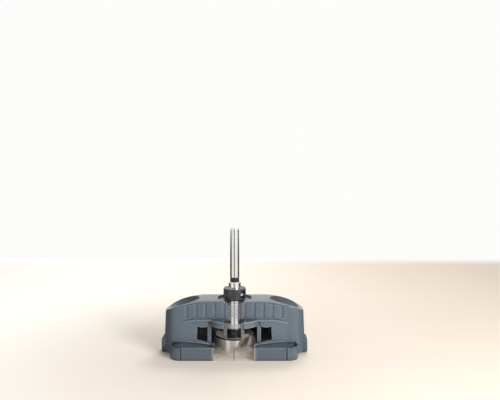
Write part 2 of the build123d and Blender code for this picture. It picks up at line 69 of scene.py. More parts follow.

# Boring bit: its head, its hub, and a painted shadow line round the head's top edge, which is
# drawn where the product of X and Y is more than the corner limit below, in square metres
HEAD_TOP = 15.9 * MM
HUB_RADIUS = 7.3 * MM
HUB_SHADE_START = 6.0 * MM
HUB_SHADE_END = 12.0 * MM
SHADOW_LINE_BOTTOM = 14.3 * MM
SHADOW_LINE_INSIDE = 16.9 * MM
SHADOW_LINE_CORNER = -9e-5
HOLLOW_SHADE_REACH = 8.0 * MM

SOLE_PADS = (
    "sole_pad_front_left",
    "sole_pad_front_right",
    "sole_pad_back_left",
    "sole_pad_back_right",
)
BUMPERS = ("end_bumper_left", "end_bumper_right")

# Soft boxes: name, place and width in metres, power in watts
LAMPS = (
    ("key", (0.38, -0.42, 0.28), 0.26, 2.9),
    ("fill", (-0.8, 0.0, 0.2), 0.4, 0.45),
    ("front", (0.45, -0.8, 0.2), 0.3, 0.6),
    ("back", (0.12, 0.38, 0.52), 0.2, 1.4),
)
LAMP_AIM = (0.0, 0.0, 0.03)

# Backdrop: half width, reach in front, height, and radius of the curve up into the wall
BACKDROP_HALF_WIDTH = 4.0
BACKDROP_FRONT = 2.5
BACKDROP_HEIGHT = 2.5
COVE_RADIUS = 0.02
COVE_POINTS = 9

# Height over which the floor's colour changes to the wall's, and the scale of the floor's grain
WALL_RISE = (0.001, 0.012)
FLOOR_GRAIN = (1.5, 26.0, 1.5)

# Painted light that metal shows: azimuths from the front, in radians, between which a field on the
# floor appears and fades
LEFT_FIELD = (-1.3, -1.15, -0.38, -0.32)
RIGHT_FIELD = (0.1, 0.16, 1.3, 1.45)
GREY_FIELD = (-0.42, -0.32, 0.1, 0.2)
BACK_FIELD = (2.5, 2.6)
FIELD_COLOUR = (1.0, 1.0, 0.99)

# Floor's glow, painted light that only the camera sees: from the distance to the guide, from the
# side, and far away
NEAR_GLOW = (0.0, 0.3, 0.16, 1.0)
SIDE_GLOW = (-0.25, 0.25, 1.5, 0.0)
FAR_GLOW = (0.5, 1.2, 0.0, 2.0)

# Camera: sensor in millimetres, then the photograph's frame in pixels
SENSOR_WIDTH = 36.0
FRAME_WIDTH = 500.0
FOCAL_LENGTH = 555.0
FRAME_SHIFT = -35.0


def colour_setting(name, description, default):
    """A colour property of a property group."""
    return FloatVectorProperty(
        name=name,
        description=description,
        subtype="COLOR",
        size=3,
        min=0.0,
        max=1.0,
        default=default,
    )


def length_setting(name, description, default):
    """A length property of a property group, in metres."""
    return FloatProperty(
        name=name, description=description, unit="LENGTH", default=default, precision=6
    )


def share_setting(name, description, default):
    """A property between none and all of something."""
    return FloatProperty(
        name=name, description=description, subtype="FACTOR", min=0.0, max=1.0, default=default
    )


def number_setting(name, description, default):
    """A plain number, such as how many times brighter something is."""
    return FloatProperty(name=name, description=description, min=0.0, default=default)


def angle_setting(name, description, degrees):
    """An angle property of a property group."""
    return FloatProperty(
        name=name, description=description, subtype="ANGLE", default=math.radians(degrees)
    )


class PlasticSettings(bpy.types.PropertyGroup):
    """Colours and grain of the moulded parts."""

    body: colour_setting("Body", "Grey of the moulded body", (0.125, 0.157, 0.193))
    base: colour_setting("Base", "Grey of the low frame", (0.108, 0.135, 0.161))
    bumper: colour_setting("Bumpers", "Dark grey of the end bumpers", (0.085, 0.102, 0.13))
    # Painted shade inside the chip chamber
    chamber: colour_setting("Chip chamber", "Near black inside the chamber", (0.03, 0.03, 0.031))
    roughness: share_setting("Roughness", "Roughness of the moulded surface", 0.21)
    body_gloss: share_setting("Body gloss", "Specular level of the body", 0.55)
    base_gloss: share_setting("Base gloss", "Specular level of the low frame", 0.3)
    cloud_size: length_setting("Clouds", "Width of one cloud of slightly other tone", 0.0025)
    cloud_change: share_setting("Cloud change", "How much the clouds change the tone", 0.05)
    # Painted highlight along outer edges, standing in for light catching them
    edge_highlight: share_setting("Edge highlight", "How much paler outer edges are", 0.9)
    edge_highlight_tone: number_setting("Edge highlight tone", "Tone of worn edges beside the plain one", 2.0)
    edge_highlight_reach: length_setting("Edge highlight reach", "How far worn edges reach", 0.0009)
    # Painted shade in inner corners
    corner: share_setting("Corners", "How much darker inner corners are", 0.8)
    corner_shade_tone: number_setting("Corner tone", "Tone of inner corners beside the plain one", 0.3)
    corner_shade_reach: length_setting("Corner reach", "How far dark corners reach", 0.003)
    grain_size: length_setting("Grain", "Width of one pebble of the fine grain", 0.0005)
    grain_depth: length_setting("Grain depth", "Depth of the fine grain", 0.00004)
    grain_strength: share_setting("Grain strength", "How clearly the grain shows", 0.7)
    edge_round: length_setting("Edge round", "Radius seen on moulded edges", 0.0004)
    pocket_out: length_setting("Pocket from middle", "Middle of a thumb pocket, sideways", 0.04653)
    pocket_up: length_setting("Pocket height", "Middle of a thumb pocket, above the floor", 0.05291)
    pocket_long: length_setting("Pocket length", "Half the length of a thumb pocket", 0.0176)
    pocket_round: length_setting("Pocket width", "Half the width of a thumb pocket", 0.015)
    pocket_lean: angle_setting("Pocket lean", "Tilt of a thumb pocket", 16.7)
    # Painted shade inside the thumb pockets: where it is darkest and palest, and its tones
    pocket_start: length_setting("Dark to", "Where a pocket is darkest, sideways", 0.034)
    pocket_end: length_setting("Pale from", "Where a pocket is palest, sideways", 0.052)
    pocket_dark: number_setting("Pocket dark", "Darkest tone in a pocket", 0.22)
    pocket_pale: number_setting("Pocket pale", "Palest tone in a pocket", 0.5)
    pocket_rough: share_setting("Pocket roughness", "Roughness inside the pockets", 0.55)
    # Painted shade on the rounded ends, which turn away from the light
    end_start: length_setting("Ends from", "Where the rounded ends start to darken", 0.042)
    end_full: length_setting("Ends to", "Where the rounded ends are darkest", 0.05)
    end_share: share_setting("Ends", "How much of their own tint the ends take", 0.65)
    end_shade_colour: colour_setting("End shade colour", "Tint of the ends beside the body's", (0.72, 0.76, 0.78))
    mark_out: length_setting("Marks", "Distance of the side marks from the middle", 0.0447)
    mark_half: length_setting("Mark width", "Half the width of a side mark", 0.00035)
    mark_fade: length_setting("Mark fade", "Width over which a side mark fades", 0.0004)
    mark_tone: number_setting("Mark tone", "Tone of the side marks", 0.1)
    # Painted shade on the top of the rim at the ends
    rim_start: length_setting("Rim from", "Where the dark top of the rim starts", 0.046)
    rim_low: length_setting("Rim low", "Height from which the rim darkens", 0.0096)
    rim_high: length_setting("Rim high", "Height at which the rim is darkest", 0.0106)
    rim_share: share_setting("Rim", "How much the top of the rim darkens", 0.85)
    rim_tone: number_setting("Rim tone", "Tone of the rim's dark top", 0.52)


class WindowSettings(bpy.types.PropertyGroup):
    """Tint of the clear moulding."""

    milky: colour_setting("Milky", "Colour of the clear middle", (0.42, 0.39, 0.35))
    smoky: colour_setting("Smoky", "Colour of the posts", (0.16, 0.19, 0.22))
    haze: colour_setting("Haze", "Colour of the tongue over the barrel", (0.36, 0.37, 0.39))
    mark: colour_setting("Mark", "Colour of the centre mark", (0.1, 0.085, 0.075))
    roughness: share_setting("Roughness", "Roughness of the clear plastic", 0.2)
    clear_cover: share_setting("Clear faces", "How much the clear faces cover", 0.07)
    plate_cover: share_setting("Low plate", "How much the film on the low plate covers", 0.1)
    post_cover: share_setting("Posts", "How much the film on the posts covers", 0.66)
    tongue_cover: share_setting("Tongue", "How much the film on the tongue covers", 0.28)
    tongue_foot: share_setting("Tongue foot", "How much it covers at its lower end", 0.5)
    mark_cover: share_setting("Mark cover", "How much the centre mark covers", 0.8)
    mark_half: length_setting("Mark width", "Half the width of the centre mark", 0.0003)
    post_inner: length_setting("Posts from", "Where the posts start, sideways", 0.0055)
    post_bottom: length_setting("Posts above", "Height above which the posts turn smoky", 0.0155)
    haze_bottom: length_setting("Haze above", "Height above which the tongue is hazy", 0.0268)
    plate_top: length_setting("Plate top", "Height up to which the low plate reaches", 0.0109)
    ridge: length_setting("Ridge", "Height of the turret's ridge", 0.0318)
    fade: length_setting("Fade", "Width of the step between clear and smoky", 0.001)
    blend_start: length_setting("Blend from", "Where the base frame starts to turn clear", 0.0198)
    blend_end: length_setting("Blend to", "Where the base frame looks clear", 0.0165)
    blend_tone: number_setting("Blend tone", "Tone of that clear part", 0.85)


class SteelSettings(bpy.types.PropertyGroup):
    """Colours and roughness of the metal and the rubber parts."""

    spindle: colour_setting("Spindle", "Polished steel", (0.82, 0.82, 0.81))
    black: colour_setting("Black oxide", "Stop collar and washer", (0.042, 0.044, 0.05))
    tool: colour_setting("Bit", "Ground tool steel", (0.78, 0.71, 0.65))
    hub: colour_setting("Hub", "Blackened hub and shoulder of the bit", (0.032, 0.032, 0.035))
    bright: colour_setting("Screws", "Bright screws", (0.6, 0.6, 0.61))
    rubber: colour_setting("Black rubber", "Neck ring and sole pads", (0.012, 0.012, 0.013))
    spindle_rough: share_setting("Spindle roughness", "Roughness of polished steel", 0.16)
    black_rough: share_setting("Black roughness", "Roughness of black oxide", 0.26)
    tool_rough: share_setting("Bit roughness", "Roughness of tool steel", 0.25)
    clamp_rough: share_setting("Clamp roughness", "Roughness of the clamp screws", 0.25)
    base_rough: share_setting("Screw roughness", "Roughness of the base screws", 0.28)
    rubber_rough: share_setting("Rubber roughness", "Roughness of rubber", 0.62)
    screw_height: length_setting("Collar screw height", "Axis of the collar screw", 0.05145)
    screw_hole: length_setting("Collar screw hole", "Radius of the dark rim of its hole", 0.0035)
    screw_face: length_setting("Collar screw face", "Radius of the bright middle", 0.0016)
    screw_fade: length_setting("Collar screw fade", "Width over which both fade", 0.0003)
    screw_angle: angle_setting("Collar screw angle", "Its turn from the front", 48.0)


class StageSettings(bpy.types.PropertyGroup):
    """Floor, backdrop, sky and camera."""

    floor: colour_setting("Floor", "Pale warm floor", (0.89, 0.8, 0.69))
    lift: colour_setting("Floor lift", "Glow that only the camera sees", (0.28, 0.3, 0.32))
    wall: colour_setting("Backdrop", "Pale backdrop", (0.985, 0.98, 0.97))
    # Painted light on the floor that only metal shows
    dark_floor: colour_setting("Dark floor", "What metal shows at the sides", (0.12, 0.09, 0.065))
    grey_floor: colour_setting("Grey floor", "What metal shows in the middle", (0.28, 0.28, 0.28))
    grain_share: share_setting("Floor grain", "How much the floor's grain shows", 0.08)
    grain_tone: number_setting("Grain tone", "Tone of the floor's grain", 0.85)
    sky: colour_setting("Sky", "Colour of the sky's light", (1.0, 0.99, 0.97))
    sky_level: number_setting("Sky level", "Strength of the sky's light", 0.3)
    camera_side: length_setting("Camera side", "Camera to the right of the spindle", 0.0136)
    camera_back: length_setting("Camera distance", "Camera in front of the spindle", 0.493)
    camera_height: length_setting("Camera height", "Camera above the floor", 0.165)
    wall_back: length_setting("Backdrop distance", "Backdrop behind the spindle", 0.43)


def settings():
    """The scene, which holds the settings of this add-on."""
    return bpy.context.scene


def shaded(colour, share):
    """A colour made darker or lighter."""
    return tuple(min(1.0, share * part) for part in colour)


class Shader:
    """A node tree that is put together socket by socket."""

    def __init__(self, owner, output):
        owner.use_nodes = True
        self.tree = owner.node_tree
        self.tree.nodes.clear()
        self.result = self.node(output).inputs["Surface"]

    def node(self, kind, **attributes):
        """A new node with its attributes set."""
        made = self.tree.nodes.new(kind)
        for key, value in attributes.items():
            setattr(made, key, value)
        return made

    def put(self, socket, value):
        """Links a socket to another, or sets its constant."""
        if isinstance(value, bpy.types.NodeSocket):
            self.tree.links.new(value, socket)
        elif socket.type == "RGBA":
            socket.default_value = (*value[:3], 1.0)
        else:
            socket.default_value = value

    def math(self, operation, first, second=0.0):
        """One step of arithmetic."""
        made = self.node("ShaderNodeMath", operation=operation)
        self.put(made.inputs[0], first)
        self.put(made.inputs[1], second)
        return made.outputs[0]

    def chain(self, operation, first, *others):
        """The same step of arithmetic over several values."""
        for other in others:
            first = self.math(operation, first, other)
        return first

    def product(self, *values):
        """All values multiplied."""
        return self.chain("MULTIPLY", *values)

    def largest(self, *values):
        """The largest of the values."""
        return self.chain("MAXIMUM", *values)

    def paths(self):
        """What kind of ray meets the surface."""
        return self.node("ShaderNodeLightPath").outputs

    def shown_plain(self, paths):
        """One where the background is seen directly, in metal or through something clear."""
        kinds = ("Is Camera Ray", "Is Glossy Ray", "Is Transmission Ray")
        return self.largest(*(paths[kind] for kind in kinds))

    def blend(self, share, first, second):
        """Mix of two shaders."""
        made = self.node("ShaderNodeMixShader")
        for socket, value in zip(made.inputs, (share, first, second)):
            self.put(socket, value)
        return made.outputs[0]


class Material(Shader):
    """A node material on object coordinates."""

    def __init__(self, name):
        self.material = bpy.data.materials.new(name)
        super().__init__(self.material, "ShaderNodeOutputMaterial")
        self.position = self.node("ShaderNodeTexCoord").outputs["Object"]

    def absolute(self, value):
        """Value without its sign."""
        return self.math("ABSOLUTE", value)

    def below(self, value, limit):
        """One where the value is less than the limit."""
        return self.math("LESS_THAN", value, limit)

    def above(self, value, limit):
        """One where the value is more than the limit."""
        return self.math("GREATER_THAN", value, limit)

    def square(self, value):
        """Value times itself."""
        return self.math("POWER", value, 2.0)

    def distance(self, first, second):
        """Root of the sum of two squares."""
        return self.math("SQRT", self.math("ADD", self.square(first), self.square(second)))

    def weighted(self, first, first_share, second, second_share):
        """Sum of two values, each times its own number."""
        parts = (self.product(first, first_share), self.product(second, second_share))
        return self.math("ADD", *parts)

    def ramp(self, value, low, high, to_low=0.0, to_high=1.0, smooth=True):
        """Value from low to high, carried over to another range."""
        kind = "SMOOTHSTEP" if smooth else "LINEAR"
        made = self.node("ShaderNodeMapRange", interpolation_type=kind)
        for index, number in enumerate((value, low, high, to_low, to_high)):
            self.put(made.inputs[index], number)
        return made.outputs[0]

    def between(self, share, low, high):
        """Number between two others."""
        return self.ramp(share, 0.0, 1.0, low, high, smooth=False)

    def band(self, value, rise_start, rise_end, fall_start, fall_end):
        """One in a band of the value, with soft ends."""
        rise = self.ramp(value, rise_start, rise_end)
        return self.product(rise, self.ramp(value, fall_start, fall_end, 1.0, 0.0))

    def mix(self, share, first, second):
        """Blend of two colours."""
        made = self.node("ShaderNodeMix", data_type="RGBA")
        self.put(made.inputs[0], share)
        self.put(made.inputs[6], first)
        self.put(made.inputs[7], second)
        return made.outputs[2]

    def mottled(self, pattern, first, second):
        """Two tones in the clouds of a pattern."""
        return self.mix(self.ramp(pattern, *CLOUDS), first, second)

    def axes(self, position=None):
        """X, Y and Z of a position."""
        made = self.node("ShaderNodeSeparateXYZ")
        self.put(made.inputs[0], position or self.position)
        return made.outputs

    def scaled(self, factors):
        """Object position stretched along its axes."""
        made = self.node("ShaderNodeMapping")
        self.put(made.inputs["Vector"], self.position)
        made.inputs["Scale"].default_value = factors
        return made.outputs[0]

    def noise(self, scale, detail=FEW, position=None):
        """Cloudy pattern with a mean of one half."""
        made = self.node("ShaderNodeTexNoise")
        self.put(made.inputs["Vector"], position or self.position)
        self.put(made.inputs["Scale"], scale)
        self.put(made.inputs["Detail"], detail)
        return made.outputs[0]

    def rounded(self, radius):
        """Normal that runs smoothly over edges."""
        made = self.node("ShaderNodeBevel", samples=EDGE_SAMPLES)
        self.put(made.inputs["Radius"], radius)
        return made.outputs[0]

    def openness(self, reach, inside=False, alone=False):
        """One in the open, less in corners within reach; with inside, less along outer edges."""
        made = self.node(
            "ShaderNodeAmbientOcclusion",
            samples=OPENNESS_SAMPLES,
            inside=inside,
            only_local=inside or alone,
        )
        self.put(made.inputs["Distance"], reach)
        return made.outputs["AO"]

    def edge_share(self, normal):
        """Nought on flat faces, rising along edges, from the rounded normal and the true one."""
        face = self.node("ShaderNodeNewGeometry").outputs["True Normal"]
        made = self.node("ShaderNodeVectorMath", operation="DOT_PRODUCT")
        self.put(made.inputs[0], normal)
        self.put(made.inputs[1], face)
        return self.ramp(made.outputs["Value"], *EDGE_TURN)

    def bump(self, height, distance, normal, strength=1.0):
        """Normal disturbed by a height pattern."""
        made = self.node("ShaderNodeBump")
        self.put(made.inputs["Height"], height)
        self.put(made.inputs["Distance"], distance)
        self.put(made.inputs["Strength"], strength)
        self.put(made.inputs["Normal"], normal)
        return made.outputs[0]

    def surface(self, **sockets):
        """Principled surface with its sockets set or linked."""
        made = self.node("ShaderNodeBsdfPrincipled")
        for name, value in sockets.items():
            self.put(made.inputs[name.replace("_", " ")], value)
        self.put(self.result, made.outputs[0])
        return self.material

    def emission(self, colour, strength=1.0):
        """Light of a colour."""
        made = self.node("ShaderNodeEmission")
        self.put(made.inputs["Color"], colour)
        self.put(made.inputs["Strength"], strength)
        return made.outputs[0]


def moulded(name, colour, gloss, *finishes):
    """Fine-grained plastic, with a painted highlight along its outer edges and painted shade in
    corners.
    """
    plastic = settings().guide_plastic
    made = Material(name)
    grain = made.noise(1.0 / plastic.grain_size, SOME)
    clouds = made.noise(1.0 / plastic.cloud_size, MANY)
    dark, pale = 1.0 - plastic.cloud_change, 1.0 + plastic.cloud_change
    body = made.mottled(clouds, shaded(colour, dark), shaded(colour, pale))
    # Painted highlight: outer edges made paler
    edges = made.openness(plastic.edge_highlight_reach, inside=True)
    edges = made.ramp(edges, *EDGE_HIGHLIGHT_RANGE, 0.0, plastic.edge_highlight)
    body = made.mix(edges, body, shaded(colour, plastic.edge_highlight_tone))
    # Painted shade: darker in corners, where less light reaches
    corners = made.ramp(made.openness(plastic.corner_shade_reach), *CORNER_SHADE_RANGE, 0.0, plastic.corner)
    body = made.mix(corners, body, shaded(colour, plastic.corner_shade_tone))
    for finish in finishes:
        body = finish(made, body)
    smooth = made.rounded(plastic.edge_round)
    bumped = made.bump(grain, plastic.grain_depth, smooth, plastic.grain_strength)
    rough = plastic.roughness
    if pocket_painted_shade in finishes:
        rough = made.between(inside_pocket(made), rough, plastic.pocket_rough)
    made.surface(Base_Color=body, Roughness=rough, Normal=bumped, Specular_IOR_Level=gloss)
    reach_floor(made)
    return made.material


def inside_pocket(made):
    """One inside the thumb pockets, nought outside: tilted ellipsoids mirrored about the middle."""
    plastic = settings().guide_plastic
    x, y, z = made.axes()
    out = made.math("SUBTRACT", made.absolute(x), plastic.pocket_out)
    up = made.math("SUBTRACT", z, plastic.pocket_up)
    cosine, sine = math.cos(plastic.pocket_lean), math.sin(plastic.pocket_lean)
    along = made.math("SUBTRACT", made.product(out, cosine), made.product(up, sine))
    over = made.weighted(out, sine, up, cosine)
    total = made.square(made.product(along, 1 / plastic.pocket_long))
    for part in (y, over):
        step = made.square(made.product(part, 1 / plastic.pocket_round))
        total = made.math("ADD", total, step)
    just_outside = 1.04
    return made.ramp(total, just_outside, 1.0, smooth=False)


def pocket_painted_shade(made, tone):
    """Painted shade inside the thumb pockets, darkest towards the middle of the guide."""
    plastic = settings().guide_plastic
    out = made.ramp(made.absolute(made.axes()[0]), plastic.pocket_start, plastic.pocket_end)
    dark = shaded(plastic.body, plastic.pocket_dark)
    pale = shaded(plastic.body, plastic.pocket_pale)
    return made.mix(inside_pocket(made), tone, made.mix(out, dark, pale))


def end_painted_shade(made, tone):
    """Painted shade on the rounded ends of the body, which turn away from the light."""
    plastic = settings().guide_plastic
    out = made.absolute(made.axes()[0])
    share = made.ramp(out, plastic.end_start, plastic.end_full, 0.0, plastic.end_share)
    # Painted shade: the body's colour darkened on the ends
    tint = [factor * part for factor, part in zip(plastic.end_shade_colour, plastic.body)]
    return made.mix(share, tone, tint)


def inside_chamber(made):
    """One inside the chip chamber, nought outside: a box joined with an upright cylinder."""
    x, y, z = made.axes()
    in_box = made.product(
        made.below(made.absolute(y), CHAMBER_HALF_DEPTH),
        made.below(made.absolute(x), CHAMBER_HALF_LENGTH),
        made.below(z, CHAMBER_TOP),
    )
    in_round = made.product(
        made.below(made.distance(x, y), ROUND_RADIUS), made.below(z, ROUND_TOP)
    )
    return made.largest(in_box, in_round)


def chamber_painted_shade(made, tone):
    """Painted shade: near black inside the chip chamber, where little light reaches."""
    return made.mix(inside_chamber(made), tone, settings().guide_plastic.chamber)


def clear_blend(made, tone):
    """Front plate of the base frame, which turns clear towards the sight window."""
    tint = settings().guide_window
    x, y, z = made.axes()
    share = made.ramp(made.absolute(x), tint.blend_start, tint.blend_end)
    share = made.product(share, made.below(y, PLATE_FRONT))
    return made.mix(share, tone, shaded(tint.milky, tint.blend_tone))


def rim_shade(made, tone):
    """Dark side marks, and painted shade on the top of the rim beyond them."""
    plastic = settings().guide_plastic
    x, y, z = made.axes()
    out = made.absolute(x)
    beside = made.absolute(made.math("SUBTRACT", out, plastic.mark_out))
    mark = made.ramp(beside, plastic.mark_half + plastic.mark_fade, plastic.mark_half)
    mark = made.product(mark, made.below(y, MARK_FRONT))
    tone = made.mix(mark, tone, shaded(plastic.base, plastic.mark_tone))
    # Painted shade on the rim's top beyond the marks
    top = made.ramp(z, plastic.rim_low, plastic.rim_high, 0.0, plastic.rim_share)
    top = made.product(top, made.above(out, plastic.rim_start))
    return made.mix(top, tone, shaded(plastic.base, plastic.rim_tone))


def reach_floor(made):
    """Lets reflected rays pass the front walls beside the tongue, so that the barrel shows the
    floor in front."""
    x, y, z = made.axes()
    share = made.product(
        made.below(made.absolute(x), PASSED_HALF_WIDTH),
        made.below(y, PASSED_FRONT),
        made.above(z, PASSED_BOTTOM),
        made.below(z, PASSED_TOP),
        made.paths()["Is Glossy Ray"],
    )
    solid = made.result.links[0].from_socket
    clear = made.node("ShaderNodeBsdfTransparent").outputs[0]
    made.put(made.result, made.blend(share, solid, clear))


def turned_steel(name, colour, roughness, finish=None):
    """Turned metal: fine rings round the Z axis from a pattern squeezed along Z."""
    ring_scale, ring_depth = (60.0, 60.0, 9000.0), 0.000002
    ring_gloss, cloud_scale, cloud_tone = 0.1, 120.0, 0.95
    edge_radius = 0.15 * MM
    made = Material(name)
    rings = made.noise(1.0, SOME, made.scaled(ring_scale))
    tone = made.mottled(made.noise(cloud_scale, SOME), shaded(colour, cloud_tone), colour)
    if finish:
        tone = finish(made, tone)
    low, high = roughness * (1.0 - ring_gloss), roughness * (1.0 + ring_gloss)
    gloss = made.ramp(rings, *CLOUDS, low, high)
    bumped = made.bump(rings, ring_depth, made.rounded(edge_radius))
    return made.surface(Base_Color=tone, Metallic=1.0, Roughness=gloss, Normal=bumped)


def tool_steel(name, steel):
    """Ground bit steel: black hub, a painted shadow line round the head's top edge, painted shade
    in its hollows, and a dull speckled top darkened with painted shade near the hub.
    """
    cloud_scale, cloud_tone = 220.0, 0.8
    speckle_scale, speckle_dark, speckle_pale = 3500.0, 0.4, 0.9
    hollow_shade_share, hollow_shade_tone, shadow_line_tone = 0.8, 0.15, 0.3
    stroke_scale, stroke_depth, edge_radius = (900.0, 900.0, 2500.0), 0.000004, 0.2 * MM
    ground_metal, dull_metal = 0.6, 0.1
    colour, hub = steel.tool, steel.hub
    made = Material(name)
    x, y, z = made.axes()
    across = made.distance(x, y)
    top = made.above(z, HEAD_TOP)
    black = made.product(made.below(across, HUB_RADIUS), top)
    tone = made.mottled(made.noise(cloud_scale, MANY), shaded(colour, cloud_tone), colour)
    speckle = made.noise(speckle_scale, SOME)
    dull = made.mottled(speckle, shaded(colour, speckle_dark), shaded(colour, speckle_pale))
    # Painted shade on the top near the hub
    beside_hub = made.ramp(made.absolute(x), HUB_SHADE_START, HUB_SHADE_END)
    tone = made.mix(top, tone, made.mix(beside_hub, hub, dull))
    # Painted shadow line round the head's top edge
    line = made.product(
        made.above(z, SHADOW_LINE_BOTTOM),
        made.above(across, SHADOW_LINE_INSIDE),
        made.above(made.product(x, y), SHADOW_LINE_CORNER),
    )
    # Painted shade in the bit's hollows
    hollow = made.openness(HOLLOW_SHADE_REACH, alone=True)
    hollow = made.ramp(hollow, *HOLLOW_SHADE_RANGE, 0.0, hollow_shade_share)
    tone = made.mix(hollow, tone, shaded(colour, hollow_shade_tone))
    tone = made.mix(line, tone, shaded(hub, shadow_line_tone))
    tone = made.mix(black, tone, hub)
    strokes = made.noise(1.0, SOME, made.scaled(stroke_scale))
    bumped = made.bump(strokes, stroke_depth, made.rounded(edge_radius))
    metal = made.between(made.largest(top, line), ground_metal, dull_metal)
    return made.surface(
        Base_Color=tone, Metallic=metal, Roughness=steel.tool_rough, Normal=bumped
    )


def from_screw_axis(made):
    """Distance from the collar screw's axis, which runs level through the Z axis."""
    steel = settings().guide_steel
    x, y, z = made.axes()
    beside = made.weighted(x, math.cos(steel.screw_angle), y, math.sin(steel.screw_angle))
    return made.distance(beside, made.math("SUBTRACT", z, steel.screw_height))


def screw_hole_painted_shade(made, tone):
    """Painted shade: black rim round the collar screw's hole, on the side that it opens to."""
    steel = settings().guide_steel
    rim_tone = 0.15
    # Painted shade in the screw's hole
    share = made.ramp(from_screw_axis(made), steel.screw_hole, steel.screw_hole - steel.screw_fade)
    share = made.product(share, made.above(made.axes()[0], 0.0))
    return made.mix(share, tone, shaded(steel.black, rim_tone))


def screw_rim_painted_shade(made, tone):
    """Painted shade: dark rim of the collar screw round its bright middle."""
    steel = settings().guide_steel
    rim_tone = 0.3
    # Painted shade round the screw's bright middle
    share = made.ramp(from_screw_axis(made), steel.screw_face, steel.screw_face + steel.screw_fade)
    return made.mix(share, tone, shaded(steel.black, rim_tone))


def blackened(name, steel, finish=None):
    """Black oxide on steel: dark, satin, blotched and brighter along its edges."""
    cloud_scale, cloud_dark, cloud_pale = 700.0, 0.6, 1.3
    edge_share, edge_tone, edge_radius = 0.5, 3.0, 0.25 * MM
    skin_scale, skin_depth = 2500.0, 0.000006
    colour = steel.black
    made = Material(name)
    smooth = made.rounded(edge_radius)
    clouds = made.noise(cloud_scale, MANY)
    tone = made.mottled(clouds, shaded(colour, cloud_dark), shaded(colour, cloud_pale))
    edges = made.product(made.edge_share(smooth), edge_share)
    tone = made.mix(edges, tone, shaded(colour, edge_tone))
    if finish:
        tone = finish(made, tone)
    bumped = made.bump(made.noise(skin_scale), skin_depth, smooth)
    return made.surface(Base_Color=tone, Roughness=steel.black_rough, Normal=bumped)


def rubbery(name, colour, roughness):
    """Matt rubber with a soft fine texture."""
    cloud_scale, cloud_tone, edge_radius = 90.0, 0.85, 0.3 * MM
    skin_scale, skin_depth = 1600.0, 0.00003
    made = Material(name)
    smooth = made.rounded(edge_radius)
    tone = made.mottled(made.noise(cloud_scale, SOME), shaded(colour, cloud_tone), colour)
    bumped = made.bump(made.noise(skin_scale), skin_depth, smooth)
    return made.surface(Base_Color=tone, Roughness=roughness, Normal=bumped)


def clear_plastic(name):
    """Clear moulding whose front faces carry a film: smoky on the posts, milky elsewhere."""
    tint = settings().guide_window
    made = Material(name)
    x, y, z = made.axes()
    out = made.absolute(x)
    facing = made.axes(made.node("ShaderNodeNewGeometry").outputs["True Normal"])[1]
    turned_forward = -0.5
    front = made.below(facing, turned_forward)
    plate = made.product(front, made.below(z, tint.plate_top))
    between = made.product(made.below(out, tint.post_inner), made.above(z, tint.haze_bottom))
    tongue = made.product(front, made.largest(between, made.above(z, tint.ridge)))
    post = made.product(
        made.ramp(out, tint.post_inner, tint.post_inner + tint.fade),
        made.ramp(z, tint.post_bottom, tint.haze_bottom),
        made.math("SUBTRACT", front, tongue),
    )
    mark = made.product(plate, made.below(out, tint.mark_half))
    tone = made.mix(tongue, tint.milky, tint.haze)
    tone = made.mix(post, tone, tint.smoky)
    tone = made.mix(mark, tone, tint.mark)
    haze = made.ramp(z, tint.haze_bottom, tint.ridge, tint.tongue_foot, tint.tongue_cover)
    cover = made.largest(
        made.product(plate, tint.plate_cover),
        tint.clear_cover,
        made.product(tongue, haze),
        made.product(post, tint.post_cover),
        made.product(mark, tint.mark_cover),
    )
    return made.surface(Base_Color=tone, Alpha=cover, Roughness=tint.roughness)


def clear_sleeve(name):
    """Plain clear plastic of the guide bush."""
    tint = settings().guide_window
    made = Material(name)
    return made.surface(Base_Color=tint.milky, Alpha=tint.clear_cover, Roughness=tint.roughness)


def dress(node, material):
    """Gives a CAD node a material, and smooth shading with seams at its sharp edges."""
    piece = NODES[node]
    if not piece.material_slots:
        piece.data.materials.append(None)
    for place in piece.material_slots:
        place.material = material
    piece.data.polygons.foreach_set("use_smooth", np.ones(len(piece.data.polygons), bool))
    weld = piece.modifiers.new("weld", "WELD")
    weld.merge_threshold = WELD_DISTANCE
    split = piece.modifiers.new("seams", "EDGE_SPLIT")
    split.split_angle = SEAM_ANGLE
    piece.data.update()


def mesh_from(name, points, faces, material):
    """A new piece from arrays of points and faces, in metres."""
    mesh = bpy.data.meshes.new(name)
    mesh.from_pydata(points.tolist(), [], faces.tolist())
    mesh.polygons.foreach_set("use_smooth", np.ones(len(mesh.polygons), bool))
    mesh.materials.append(material)
    mesh.update()
    piece = bpy.data.objects.new(name, mesh)
    bpy.context.scene.collection.objects.link(piece)
    return piece


def strip_faces(rows):
    """Quads of a strip of points, two to a row: both of one row, then both of the next, turned."""
    first = 2 * np.arange(rows - 1)
    return np.stack((first, first + 1, first + 3, first + 2), axis=-1)


class GuidePiece:
    """What the operators of this add-on share."""

    bl_options = {"REGISTER"}

    def execute(self, context):
        self.build(context.scene)
        return {"FINISHED"}


